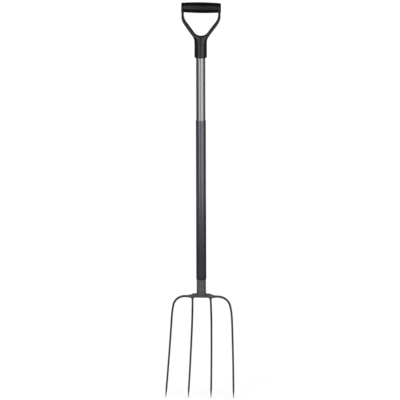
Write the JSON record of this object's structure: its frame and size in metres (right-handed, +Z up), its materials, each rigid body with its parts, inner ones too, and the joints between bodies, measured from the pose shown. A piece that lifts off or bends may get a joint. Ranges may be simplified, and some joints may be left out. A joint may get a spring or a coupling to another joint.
{
  "type": "compost fork",
  "caption": "Long handled fork with dished round tines on a forged crown, a sleeved tubular shaft and a D handle with a barrel grip.",
  "frame": {"origin": "on the ground under the middle of the tool's outline, with the tine points on the ground", "axes": "+Z up along the shaft from the tine points to the grip, front of the tool towards -Y, which the tine points curve towards, +X along the crown"},
  "size_m": [0.2104, 0.1059, 1.2073],
  "materials": {
    "forged_steel": "forged surface under a thin dark coat",
    "coated_tine_steel": "dark grey coat, satin",
    "graphite_coated_steel": "graphite grey coat, satin",
    "zinc_plated_steel": "zinc plated",
    "satin_aluminium": "drawn and satin anodised",
    "blue_grey_plastic": "satin extrusion with a metal-flake tint",
    "black_moulding": "finely textured moulding",
    "soft_black_grip": "soft matt overmoulding"
  },
  "bodies": {
    "root": {"crown": "forged_steel", "neck_weld": "forged_steel", "tine_outer_left": "coated_tine_steel", "tine_outer_right": "coated_tine_steel", "tine_inner_left": "coated_tine_steel", "tine_inner_right": "coated_tine_steel", "neck_tube": "graphite_coated_steel", "neck_pin_lower": "zinc_plated_steel", "neck_pin_upper": "zinc_plated_steel", "shaft_tube": "satin_aluminium", "shaft_sleeve": "blue_grey_plastic", "handle_frame": "black_moulding", "grip_sleeve": "soft_black_grip", "handle_screw": "zinc_plated_steel"}
  },
  "joints": []
}
